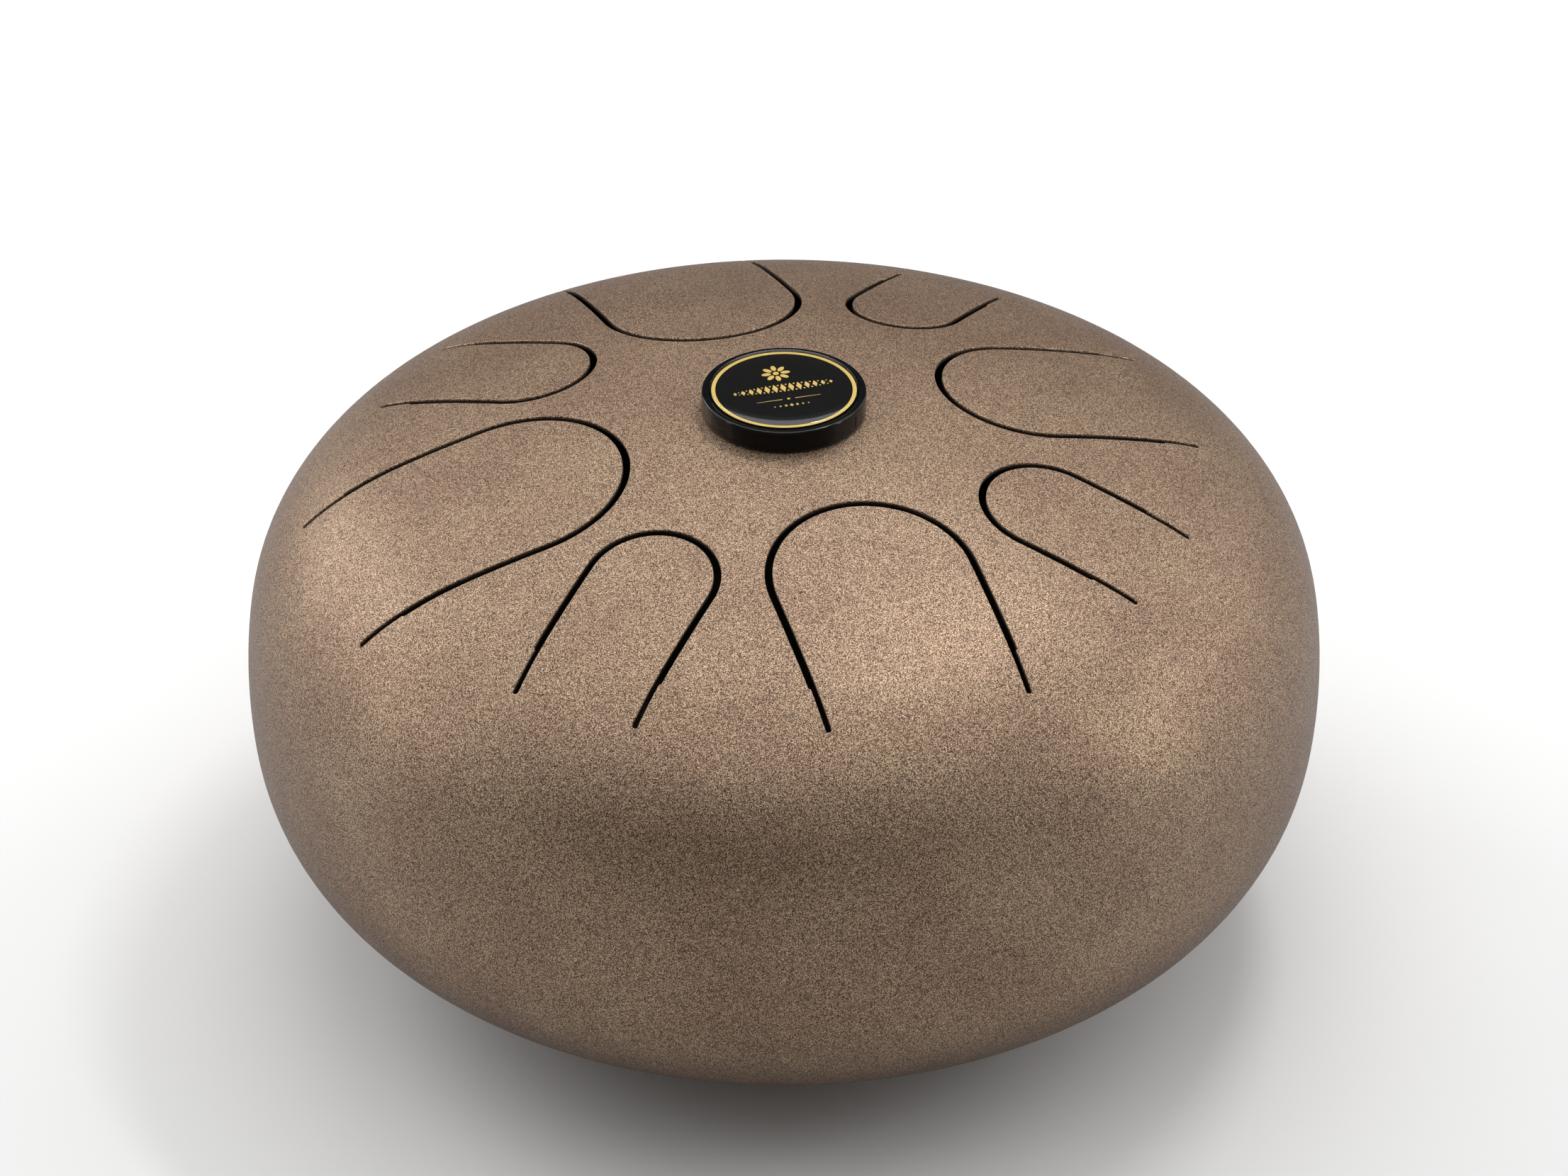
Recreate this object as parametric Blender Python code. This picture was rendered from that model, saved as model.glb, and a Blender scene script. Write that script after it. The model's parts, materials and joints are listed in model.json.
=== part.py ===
"""Steel tongue drum, in metres, +Z up.

Two pressed steel half shells are welded together at the equator. Eight tongues are cut into
the top half by U-shaped slots, each left joined to the shell at its outer end. The bottom half
has a central sound port with a rubber edging, and stands on four screwed rubber feet. A round
badge with a magnet sits on the crown.

The origin is on the drum's axis, on the surface that the feet stand on.
"""

import math

import bmesh
import bpy
from mathutils import Matrix, Vector

# Sheet and fit
DRUM_RADIUS = 0.200
SHEET = 0.002
GAP = 0.0003
EQUATOR_HEIGHT = 0.1085

# Pressed profile of each half: arcs that meet tangentially, from the equator to the pole.
# The angles are those of the outward normal above the horizontal, in degrees.
WALL_RADIUS = 0.188
HAUNCH_RADIUS = 0.111
HAUNCH_END = 72.4
TOP_SHOULDER = {"radius": 0.064, "start": 8.9, "end": 55.6}
BOTTOM_SHOULDER = {"radius": 0.070, "start": 6.2, "end": 60.0}
ARC_FACETS = (2, 5, 2, 4)
SHELL_FACETS = 64

# Tongues, clockwise seen from above and starting at the player's side. Each slot's centre
# line is a half circle of radius half_width, nearest to the axis at tip, and two parallel
# legs out to root. Over its last stretch, tuning, each leg is a narrower slot.
FIRST_TONGUE_ANGLE = -18.6
TONGUE_PITCH = 45.0
SLOT_WIDTH = 0.0027
TUNING_SLOT_WIDTH = 0.0020
TONGUES = (
    {"name": "front", "half_width": 0.0370, "tip": 0.062, "root": 0.1575, "tuning": 0.0169},
    {"name": "front_left", "half_width": 0.0237, "tip": 0.082, "root": 0.1628, "tuning": 0.0173},
    {"name": "left", "half_width": 0.0410, "tip": 0.062, "root": 0.1720, "tuning": 0.0160},
    {"name": "back_left", "half_width": 0.0238, "tip": 0.082, "root": 0.1575, "tuning": 0.0138},
    {"name": "back", "half_width": 0.0370, "tip": 0.062, "root": 0.1670, "tuning": 0.0155},
    {"name": "back_right", "half_width": 0.0212, "tip": 0.082, "root": 0.1445, "tuning": 0.0138},
    {"name": "right", "half_width": 0.0330, "tip": 0.062, "root": 0.1510, "tuning": 0.0145},
    {"name": "front_right", "half_width": 0.0240, "tip": 0.082, "root": 0.1510, "tuning": 0.0171},
)
HEAD_FACETS = 14
SLOT_CUT_LOW = 0.040
SLOT_CUT_HIGH = 0.125

# Seam weld at the equator
WELD_HALF_HEIGHT = 0.0012
WELD_BEAD = 0.0005

# Sound port and its edging
PORT_RADIUS = 0.045
EDGING_WALL = 0.0016
EDGING_LIP = 0.0065
PORT_FACETS = 48

# Feet
FOOT_COUNT = 4
FOOT_CIRCLE_RADIUS = 0.100
FOOT_TOP_RADIUS = 0.0125
FOOT_SOLE_RADIUS = 0.0105
FOOT_EDGE = 0.0012
FOOT_TOP_LAND = 0.0020
FOOT_BORE_RADIUS = 0.0024
SHELL_HOLE_RADIUS = 0.0029
FOOT_RECESS_RADIUS = 0.0055
FOOT_RECESS_FLOOR = 0.0055
FOOT_FACETS = 24
DRILL_LOW = 0.005
DRILL_HIGH = 0.040
SCREW_RADIUS = 0.0020
SCREW_HEAD_RADIUS = 0.0040
SCREW_HEAD_HEIGHT = 0.0026
SCREW_END = 0.0070
WASHER_RADIUS = 0.0045
WASHER_HOLE_RADIUS = 0.0024
WASHER_THICKNESS = 0.0008
NUT_WIDTH = 0.0070
NUT_HEIGHT = 0.0032
FASTENER_FACETS = 16

# Badge
BADGE_RADIUS = 0.0300
BADGE_HEIGHT = 0.0069
BADGE_LIFT = 0.0013
BADGE_SKIRT = -0.0003
BADGE_SKIRT_RAKE = 0.0003
BADGE_EDGE = 0.0016
BADGE_FLOOR = 0.0060
BADGE_LEDGE_RADIUS = 0.0272
BADGE_POCKET_RADIUS = 0.0104
BADGE_POCKET_DEPTH = 0.0034
LABEL_THICKNESS = 0.0006
DOME_CROWN = 0.0012
DOME_EDGE_RISE = 0.0008
MAGNET_RADIUS = 0.0100
MAGNET_THICKNESS = 0.0030
PAD_RADIUS = 0.0240
PAD_HOLE_RADIUS = 0.0112
BADGE_FACETS = 48


def clear_scene():
    for old in list(bpy.data.objects):
        bpy.data.objects.remove(old, do_unlink=True)


def material(name, colour, roughness, metallic=0.0, transmission=0.0):
    made = bpy.data.materials.new(name)
    made.use_nodes = True
    shader = made.node_tree.nodes["Principled BSDF"]
    shader.inputs["Base Color"].default_value = (*colour, 1.0)
    shader.inputs["Roughness"].default_value = roughness
    shader.inputs["Metallic"].default_value = metallic
    shader.inputs["Transmission Weight"].default_value = transmission
    return made


def make_object(name, shape, finish, parent=None):
    """Object from a bmesh whose faces are turned outwards, shaded smooth between sharp edges."""
    bmesh.ops.recalc_face_normals(shape, faces=shape.faces)
    mesh = bpy.data.meshes.new(name)
    shape.to_mesh(mesh)
    shape.free()
    mesh.shade_smooth()
    mesh.set_sharp_from_angle(angle=math.radians(32))
    made = bpy.data.objects.new(name, mesh)
    bpy.context.scene.collection.objects.link(made)
    if finish is not None:
        mesh.materials.append(finish)
    made.parent = parent
    return made


def empty_at(name, matrix):
    made = bpy.data.objects.new(name, None)
    made.empty_display_size = 0.02
    made.matrix_world = matrix
    bpy.context.scene.collection.objects.link(made)
    return made


# Profiles -------------------------------------------------------------------------------


def half_arcs(shoulder):
    """Arcs of one half, equator to pole, as (centre radius, centre height, radius, start, end).

    The crown's arc is centred on the axis, which sets its radius.
    """
    arcs = []
    radius_here, height_here, angle_here = DRUM_RADIUS, 0.0, 0.0
    stretches = (
        (WALL_RADIUS, shoulder["start"]),
        (shoulder["radius"], shoulder["end"]),
        (HAUNCH_RADIUS, HAUNCH_END),
        (None, 90.0),
    )
    for arc_radius, end in stretches:
        start, end = math.radians(angle_here), math.radians(end)
        if arc_radius is None:
            arc_radius = radius_here / math.cos(start)
        centre_radius = radius_here - arc_radius * math.cos(start)
        centre_height = height_here - arc_radius * math.sin(start)
        arcs.append((centre_radius, centre_height, arc_radius, start, end))
        radius_here = centre_radius + arc_radius * math.cos(end)
        height_here = centre_height + arc_radius * math.sin(end)
        angle_here = math.degrees(end)
    return arcs


def height_at(arcs, radius, inset=0.0):
    """Height above the equator of the half's surface, inset from its outer face, at a radius."""
    for centre_radius, centre_height, arc_radius, _, end in arcs:
        reach = arc_radius - inset
        if radius >= centre_radius + reach * math.cos(end) - 1e-9:
            across = radius - centre_radius
            return centre_height + math.sqrt(reach * reach - across * across)
    raise ValueError("radius is off the half")


def arc_outline(arcs, inset, first_height, last_radius):
    """Points (radius, height) from first_height on the wall to last_radius on the crown."""
    points = []
    for (centre_radius, centre_height, arc_radius, start, end), facets in zip(arcs, ARC_FACETS):
        reach = arc_radius - inset
        if not points:
            start = math.asin((first_height - centre_height) / reach)
        if end == arcs[-1][4]:
            end = math.acos((last_radius - centre_radius) / reach)
        for step in range(0 if not points else 1, facets + 1):
            angle = start + (end - start) * step / facets
            points.append((
                centre_radius + reach * math.cos(angle),
                centre_height + reach * math.sin(angle),
            ))
    points[-1] = (last_radius, points[-1][1])
    return points


def shell_section(arcs, last_radius):
    """Section of a half shell: up its outer face and back down its inner face."""
    first_height = WELD_HALF_HEIGHT + GAP
    outer = arc_outline(arcs, 0.0, first_height, last_radius)
    inner = arc_outline(arcs, SHEET, first_height, last_radius)
    return outer + inner[::-1]


def turned(section, facets):
    """Bmesh of a closed section (radius, height) turned about the Z axis."""
    count = len(section)
    edges = []
    for corner in range(count):
        after = (corner + 1) % count
        if section[corner][0] > 0.0 or section[after][0] > 0.0:
            edges.append((corner, after))
    profile = bpy.data.meshes.new("profile")
    profile.from_pydata([(radius, 0.0, height) for radius, height in section], edges, [])
    holder = bpy.data.objects.new("profile", profile)
    bpy.context.scene.collection.objects.link(holder)
    screw = holder.modifiers.new("Screw", "SCREW")
    screw.steps = facets
    screw.render_steps = facets
    screw.use_merge_vertices = True
    screw.merge_threshold = 1e-5
    shape = bmesh.new()
    shape.from_object(holder, bpy.context.evaluated_depsgraph_get())
    bpy.data.objects.remove(holder)
    bpy.data.meshes.remove(profile)
    return shape


def prism(outline, low, high):
    """Bmesh of a plan outline (x, y) raised from low to high."""
    shape = bmesh.new()
    base = [shape.verts.new((x, y, low)) for x, y in outline]
    roof = [shape.verts.new((x, y, high)) for x, y in outline]
    shape.faces.new(base[::-1])
    shape.faces.new(roof)
    for corner in range(len(outline)):
        after = (corner + 1) % len(outline)
        shape.faces.new((base[corner], base[after], roof[after], roof[corner]))
    return shape


def cut(body, operation, outline, low, high):
    """Boolean of a body with a vertical prism, kept as a wire helper."""
    tool = make_object(f"{body.name}_tool_{len(body.modifiers)}", prism(outline, low, high), None)
    tool.hide_render = True
    tool.display_type = "WIRE"
    modifier = body.modifiers.new(tool.name, "BOOLEAN")
    modifier.operation = operation
    modifier.solver = "EXACT"
    modifier.object = tool


# Shells and tongues ---------------------------------------------------------------------


def in_plan(angle, along, across):
    """Plan point at a distance along a tongue's direction from the axis, and across it."""
    outward = Vector((-math.sin(angle), -math.cos(angle)))
    sideways = Vector((math.cos(angle), -math.sin(angle)))
    return tuple(outward * along + sideways * across)


def u_outline(angle, tongue, head_radius, legs):
    """Plan outline of a U: its legs' points (along, half width), mirrored about a round head."""
    head_centre = tongue["tip"] + tongue["half_width"]
    side = [(along, -across) for along, across in legs]
    head = []
    for step in range(HEAD_FACETS + 1):
        turn = math.pi * step / HEAD_FACETS
        head.append((head_centre - head_radius * math.sin(turn), -head_radius * math.cos(turn)))
    points = side + head + [(along, across) for along, across in reversed(legs)]
    return [in_plan(angle, along, across) for along, across in points]


def opening_outline(angle, tongue):
    """Outer edge of the slot, closed across the tongue's root."""
    step = tongue["root"] - tongue["tuning"]
    wide = tongue["half_width"] + SLOT_WIDTH / 2
    narrow = tongue["half_width"] - SLOT_WIDTH / 2 + TUNING_SLOT_WIDTH
    legs = [(tongue["root"], narrow), (step, narrow), (step, wide)]
    return u_outline(angle, tongue, wide, legs)


def tongue_outline(angle, tongue):
    """Inner edge of the slot, which is the tongue's own edge."""
    half_width = tongue["half_width"] - SLOT_WIDTH / 2
    return u_outline(angle, tongue, half_width, [(tongue["root"] - GAP, half_width)])


def top_and_tongues(coated):
    arcs = half_arcs(TOP_SHOULDER)
    section = [(radius, EQUATOR_HEIGHT + height) for radius, height in shell_section(arcs, 0.0)]
    low, high = EQUATOR_HEIGHT + SLOT_CUT_LOW, EQUATOR_HEIGHT + SLOT_CUT_HIGH
    top = make_object("top_shell", turned(section, SHELL_FACETS), coated)
    for number, tongue in enumerate(TONGUES):
        angle = math.radians(FIRST_TONGUE_ANGLE + TONGUE_PITCH * number)
        cut(top, "DIFFERENCE", opening_outline(angle, tongue), low, high)
        pivot_height = EQUATOR_HEIGHT + height_at(arcs, tongue["root"], SHEET / 2)
        pivot = Vector((*in_plan(angle, tongue["root"], 0.0), pivot_height))
        pivot_empty = empty_at(f"{tongue['name']}_root", Matrix.Translation(pivot))
        shape = turned(section, SHELL_FACETS)
        plate = make_object(f"tongue_{tongue['name']}", shape, coated, pivot_empty)
        plate.location = -pivot
        cut(plate, "INTERSECT", tongue_outline(angle, tongue), low, high)


def bottom_shell(coated):
    arcs = half_arcs(BOTTOM_SHOULDER)
    section = [
        (radius, EQUATOR_HEIGHT - height)
        for radius, height in shell_section(arcs, PORT_RADIUS)
    ]
    bottom = make_object("bottom_shell", turned(section, SHELL_FACETS), coated)
    for seat in foot_seats():
        outline = []
        for step in range(FASTENER_FACETS):
            turn = 2 * math.pi * step / FASTENER_FACETS
            rim = Vector((math.cos(turn), math.sin(turn), 0.0)) * SHELL_HOLE_RADIUS
            outline.append(tuple((seat @ rim).xy))
        cut(bottom, "DIFFERENCE", outline, DRILL_LOW, DRILL_HIGH)


def seam_weld(coated):
    """Weld ring: flush with the wall outside, and a low bead inside."""
    outer = DRUM_RADIUS
    inner = DRUM_RADIUS - SHEET
    section = [
        (outer, -WELD_HALF_HEIGHT),
        (outer, WELD_HALF_HEIGHT),
        (inner, WELD_HALF_HEIGHT),
        (inner - WELD_BEAD, WELD_HALF_HEIGHT / 2),
        (inner - WELD_BEAD, -WELD_HALF_HEIGHT / 2),
        (inner, -WELD_HALF_HEIGHT),
    ]
    raised = [(radius, EQUATOR_HEIGHT + height) for radius, height in section]
    make_object("seam_weld", turned(raised, SHELL_FACETS), coated)


def port_edging(rubber):
    """Rubber channel pushed onto the port's edge, open towards the sheet."""
    arcs = half_arcs(BOTTOM_SHOULDER)
    bore = PORT_RADIUS - GAP - EDGING_WALL
    floor = PORT_RADIUS - GAP
    lip = PORT_RADIUS + EDGING_LIP
    chamfer = EDGING_WALL / 2

    def level(radius, inset):
        return EQUATOR_HEIGHT - height_at(arcs, max(radius, PORT_RADIUS), inset)

    under, over = -GAP, SHEET + GAP
    section = [
        (bore, level(bore, under) - chamfer),
        (bore + chamfer, level(bore, under) - EDGING_WALL),
        (lip - chamfer, level(lip, under) - EDGING_WALL),
        (lip, level(lip, under) - chamfer),
        (lip, level(lip, under)),
        (floor, level(floor, under)),
        (floor, level(floor, over)),
        (lip, level(lip, over)),
        (lip, level(lip, over) + chamfer),
        (lip - chamfer, level(lip, over) + EDGING_WALL),
        (bore + chamfer, level(bore, over) + EDGING_WALL),
        (bore, level(bore, over) + chamfer),
    ]
    make_object("port_edging", turned(section, PORT_FACETS), rubber)


# Feet -----------------------------------------------------------------------------------


def foot_seats():
    """Frames of the feet: origin on the shell's outer face, local Z along its outward normal."""
    arcs = half_arcs(BOTTOM_SHOULDER)
    crown_radius = arcs[-1][2]
    tilt = math.asin(FOOT_CIRCLE_RADIUS / crown_radius)
    height = EQUATOR_HEIGHT - height_at(arcs, FOOT_CIRCLE_RADIUS)
    seats = []
    for number in range(FOOT_COUNT):
        turn = 2 * math.pi * (number + 0.5) / FOOT_COUNT
        place = Matrix.Translation((
            FOOT_CIRCLE_RADIUS * math.cos(turn),
            FOOT_CIRCLE_RADIUS * math.sin(turn),
            height,
        ))
        facing = Matrix.Rotation(turn, 4, "Z") @ Matrix.Rotation(math.pi - tilt, 4, "Y")
        seats.append(place @ facing)
    return seats


def foot(name, seat_empty, seat, rubber):
    """Rubber foot: its top follows the shell, its sole is level, and a recess takes the screw.

    The section's sole is drawn far down at a height of 1, and then set on the ground.
    """
    crown_radius = half_arcs(BOTTOM_SHOULDER)[-1][2]
    sole = 1.0
    section = [
        (FOOT_BORE_RADIUS, 0.0),
        (FOOT_TOP_RADIUS, 0.0),
        (FOOT_TOP_RADIUS, FOOT_TOP_LAND),
        (FOOT_SOLE_RADIUS, sole - FOOT_EDGE),
        (FOOT_SOLE_RADIUS - FOOT_EDGE, sole),
        (FOOT_RECESS_RADIUS, sole),
        (FOOT_RECESS_RADIUS, FOOT_RECESS_FLOOR),
        (FOOT_BORE_RADIUS, FOOT_RECESS_FLOOR),
    ]
    shape = turned(section, FOOT_FACETS)
    for corner in shape.verts:
        across = corner.co.xy.length
        if corner.co.z == 0.0:
            sagitta = crown_radius - math.sqrt(crown_radius**2 - across**2)
            corner.co.z = GAP - sagitta
        elif corner.co.z > sole / 2:
            above_sole = sole - corner.co.z
            slope = seat.to_3x3() @ Vector((corner.co.x, corner.co.y, 0.0))
            down = -(seat.to_3x3() @ Vector((0.0, 0.0, 1.0))).z
            corner.co.z = (seat.translation.z + slope.z) / down - above_sole
    make_object(name, shape, rubber, seat_empty)


def foot_screw_shape():
    head = FOOT_RECESS_FLOOR + GAP
    section = [
        (0.0, -SCREW_END),
        (SCREW_RADIUS * 0.8, -SCREW_END),
        (SCREW_RADIUS, -SCREW_END + SCREW_RADIUS * 0.4),
        (SCREW_RADIUS, head),
        (SCREW_HEAD_RADIUS, head),
        (SCREW_HEAD_RADIUS, head + SCREW_HEAD_HEIGHT * 0.55),
        (SCREW_HEAD_RADIUS * 0.7, head + SCREW_HEAD_HEIGHT),
        (0.0, head + SCREW_HEAD_HEIGHT),
    ]
    return turned(section, FASTENER_FACETS)


def washer_shape():
    low = -(SHEET + GAP + WASHER_THICKNESS)
    section = [
        (WASHER_HOLE_RADIUS, low),
        (WASHER_RADIUS, low),
        (WASHER_RADIUS, low + WASHER_THICKNESS),
        (WASHER_HOLE_RADIUS, low + WASHER_THICKNESS),
    ]
    return turned(section, FASTENER_FACETS)


def nut_shape():
    """Hexagon nut on the screw, over the washer."""
    near = -(SHEET + WASHER_THICKNESS + 2 * GAP)
    far = near - NUT_HEIGHT
    corner_radius = NUT_WIDTH / math.sqrt(3)
    hole_radius = SCREW_RADIUS + GAP
    shape = bmesh.new()
    rings = []
    for radius, height in (
        (hole_radius, far),
        (corner_radius, far),
        (corner_radius, near),
        (hole_radius, near),
    ):
        ring = []
        for step in range(6):
            turn = math.pi * step / 3
            # The hole's corners lie on the hexagon's diagonals, so its flats clear the thread.
            reach = radius / math.cos(math.pi / 6) if radius == hole_radius else radius
            ring.append(shape.verts.new((reach * math.cos(turn), reach * math.sin(turn), height)))
        rings.append(ring)
    for ring, following in zip(rings, rings[1:] + rings[:1]):
        for step in range(6):
            after = (step + 1) % 6
            shape.faces.new((ring[step], ring[after], following[after], following[step]))
    return shape


def feet(rubber, steel):
    """Every foot with its screw, washer and nut, each placed in its seat's frame."""
    for number, seat in enumerate(foot_seats(), start=1):
        seat_empty = empty_at(f"foot_seat_{number}", seat)
        foot(f"foot_{number}", seat_empty, seat, rubber)
        make_object(f"foot_screw_{number}", foot_screw_shape(), steel, seat_empty)
        make_object(f"foot_washer_{number}", washer_shape(), steel, seat_empty)
        make_object(f"foot_nut_{number}", nut_shape(), steel, seat_empty)


# Badge ----------------------------------------------------------------------------------


def badge(black, printed, clear, magnet_steel, felt):
    """Badge on the crown. Heights in its sections are above the shell's pole."""
    arcs = half_arcs(TOP_SHOULDER)
    crown_radius = arcs[-1][2]
    pole = EQUATOR_HEIGHT + height_at(arcs, 0.0)
    lift = empty_at("badge_seat", Matrix.Translation((0.0, 0.0, pole)))
    top = BADGE_LIFT + BADGE_HEIGHT
    floor = BADGE_LIFT + BADGE_FLOOR
    pocket = BADGE_LIFT + BADGE_POCKET_DEPTH
    housing = [
        (0.0, pocket),
        (BADGE_POCKET_RADIUS, pocket),
        (BADGE_POCKET_RADIUS, BADGE_LIFT),
        (PAD_RADIUS + GAP, BADGE_LIFT),
        (PAD_RADIUS + GAP, BADGE_SKIRT),
        (BADGE_RADIUS - BADGE_EDGE / 4, BADGE_SKIRT - BADGE_SKIRT_RAKE),
        (BADGE_RADIUS, BADGE_SKIRT - BADGE_SKIRT_RAKE + BADGE_EDGE / 4),
        (BADGE_RADIUS, top - BADGE_EDGE),
        (BADGE_RADIUS - BADGE_EDGE * 0.3, top - BADGE_EDGE * 0.3),
        (BADGE_RADIUS - BADGE_EDGE, top),
        (BADGE_LEDGE_RADIUS, top - BADGE_EDGE * 0.2),
        (BADGE_LEDGE_RADIUS, floor),
        (0.0, floor),
    ]
    make_object("badge_housing", turned(housing, BADGE_FACETS), black, lift)

    label_low = floor + GAP
    label_high = label_low + LABEL_THICKNESS
    label_radius = BADGE_LEDGE_RADIUS - GAP
    label = [
        (0.0, label_low),
        (label_radius, label_low),
        (label_radius, label_high),
        (0.0, label_high),
    ]
    make_object("badge_label", turned(label, BADGE_FACETS), printed, lift)

    dome_low = label_high + GAP
    dome_edge = top + DOME_EDGE_RISE
    dome = [(0.0, dome_low), (label_radius, dome_low)]
    for part in (1.0, 0.94, 0.8, 0.55, 0.28, 0.0):
        rise = DOME_CROWN * (1.0 - part**2) ** 0.8
        dome.append((label_radius * part, dome_edge + rise))
    make_object("badge_dome", turned(dome, BADGE_FACETS), clear, lift)

    magnet_low = pocket - GAP - MAGNET_THICKNESS
    magnet = [
        (0.0, magnet_low),
        (MAGNET_RADIUS, magnet_low),
        (MAGNET_RADIUS, magnet_low + MAGNET_THICKNESS),
        (0.0, magnet_low + MAGNET_THICKNESS),
    ]
    make_object("badge_magnet", turned(magnet, FASTENER_FACETS), magnet_steel, lift)

    def pad_low(radius):
        return GAP - crown_radius + math.sqrt(crown_radius**2 - radius**2)

    pad = [
        (PAD_HOLE_RADIUS, pad_low(PAD_HOLE_RADIUS)),
        (PAD_RADIUS, pad_low(PAD_RADIUS)),
        (PAD_RADIUS, BADGE_LIFT - GAP),
        (PAD_HOLE_RADIUS, BADGE_LIFT - GAP),
    ]
    make_object("badge_pad", turned(pad, SHELL_FACETS // 2), felt, lift)


def main():
    clear_scene()
    coated = material("bronze_powder_coat", (0.27, 0.19, 0.13), 0.45, 0.6)
    rubber = material("black_rubber", (0.02, 0.02, 0.02), 0.8)
    steel = material("zinc_plated_steel", (0.62, 0.62, 0.60), 0.35, 1.0)
    black = material("black_gloss_plastic", (0.01, 0.01, 0.01), 0.12)
    printed = material("printed_label", (0.03, 0.025, 0.02), 0.3)
    clear = material("clear_resin", (1.0, 1.0, 1.0), 0.03, transmission=1.0)
    magnet_steel = material("nickel_plate", (0.65, 0.63, 0.58), 0.2, 1.0)
    felt = material("black_felt", (0.02, 0.02, 0.022), 0.95)
    top_and_tongues(coated)
    bottom_shell(coated)
    seam_weld(coated)
    port_edging(rubber)
    feet(rubber, steel)
    badge(black, printed, clear, magnet_steel, felt)


main()
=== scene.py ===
"""Looks of the steel tongue drum: fine coated skins, tongues that meet the skin at their roots, a
glossy badge, rubber feet and edging, and a plain pale studio."""

import json
import math

import bmesh
import bpy
import numpy as np
from mathutils import Matrix, Vector
from mathutils.geometry import delaunay_2d_cdt
from mathutils.kdtree import KDTree


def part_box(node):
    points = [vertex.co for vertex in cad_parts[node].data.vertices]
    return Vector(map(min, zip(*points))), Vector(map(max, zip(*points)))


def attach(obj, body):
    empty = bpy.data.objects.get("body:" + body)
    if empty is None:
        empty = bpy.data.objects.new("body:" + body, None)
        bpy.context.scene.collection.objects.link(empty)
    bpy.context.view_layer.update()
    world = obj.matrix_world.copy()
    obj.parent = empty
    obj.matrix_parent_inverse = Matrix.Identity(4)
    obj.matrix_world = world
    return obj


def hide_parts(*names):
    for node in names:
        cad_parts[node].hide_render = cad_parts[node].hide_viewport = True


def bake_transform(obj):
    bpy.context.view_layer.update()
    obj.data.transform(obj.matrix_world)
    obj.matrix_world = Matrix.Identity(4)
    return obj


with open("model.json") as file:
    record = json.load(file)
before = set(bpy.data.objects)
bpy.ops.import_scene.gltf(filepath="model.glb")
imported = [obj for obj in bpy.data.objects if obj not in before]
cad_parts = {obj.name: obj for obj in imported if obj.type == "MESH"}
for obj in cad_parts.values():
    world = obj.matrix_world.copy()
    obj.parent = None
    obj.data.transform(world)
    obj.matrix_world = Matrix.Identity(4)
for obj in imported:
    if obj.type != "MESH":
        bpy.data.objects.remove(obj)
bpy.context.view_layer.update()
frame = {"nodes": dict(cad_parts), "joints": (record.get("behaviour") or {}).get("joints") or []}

MM = 0.001

# Clearance between neighbouring pieces, as in the CAD model
GAP = 0.3 * MM

# Places that the CAD model gives
EQUATOR = sum(corner.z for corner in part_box("seam_weld")) / 2
DRUM_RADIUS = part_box("seam_weld")[1].x
POLE_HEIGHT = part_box("top_shell")[1].z
PORT_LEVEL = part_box("bottom_shell")[0].z

# Pressed profile: radius of curvature and the normal's angle above the horizontal, in degrees,
# at the start and end of each stretch, from the top pole to the sound port
SHEET = 2.0 * MM
PORT_RADIUS = 45.0 * MM
PROFILE = (
    (468.0 * MM, 90.0, 72.4),
    (111.0 * MM, 72.4, 55.6),
    (64.0 * MM, 55.6, 8.9),
    (188.0 * MM, 8.9, -6.2),
    (70.0 * MM, -6.2, -60.0),
    (111.0 * MM, -60.0, -72.4),
    (470.8 * MM, -72.4, -84.52),
)
PROFILE_STEP = 0.25 * MM
PROFILE_BLEND = 5.0 * MM
BEAD_HEIGHT = 0.6 * MM
BEAD_WIDTH = 1.6 * MM

# Slots
SLOT_WIDTH = 2.7 * MM
TUNING_WIDTH = 2.0 * MM
TUNING_LENGTHS = {
    "front": 16.9 * MM,
    "front_left": 17.3 * MM,
    "left": 16.0 * MM,
    "back_left": 13.8 * MM,
    "back": 15.5 * MM,
    "back_right": 13.8 * MM,
    "right": 14.5 * MM,
    "front_right": 17.1 * MM,
}
SLOT_END_ROUNDING = 0.6 * MM
STEP_ROUNDING = 0.25 * MM
STEP_CORNER = 0.40 * MM
LIP = 0.35 * MM
INNER_LIP = 0.20 * MM
ROOT_INSET = 1.5 * MM
HEAD_STEPS = 48
FILLET_STEPS = 4

# Fineness of the skins
SPLIT_RADIUS = 186.0 * MM
AROUND = 256
SKIN_SPACING = 4.0 * MM
LEG_SPACING = 3.0 * MM
CLEAR_OF_SLOTS = 2.3 * MM


# Drum profile ---------------------------------------------------------------------------


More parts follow.
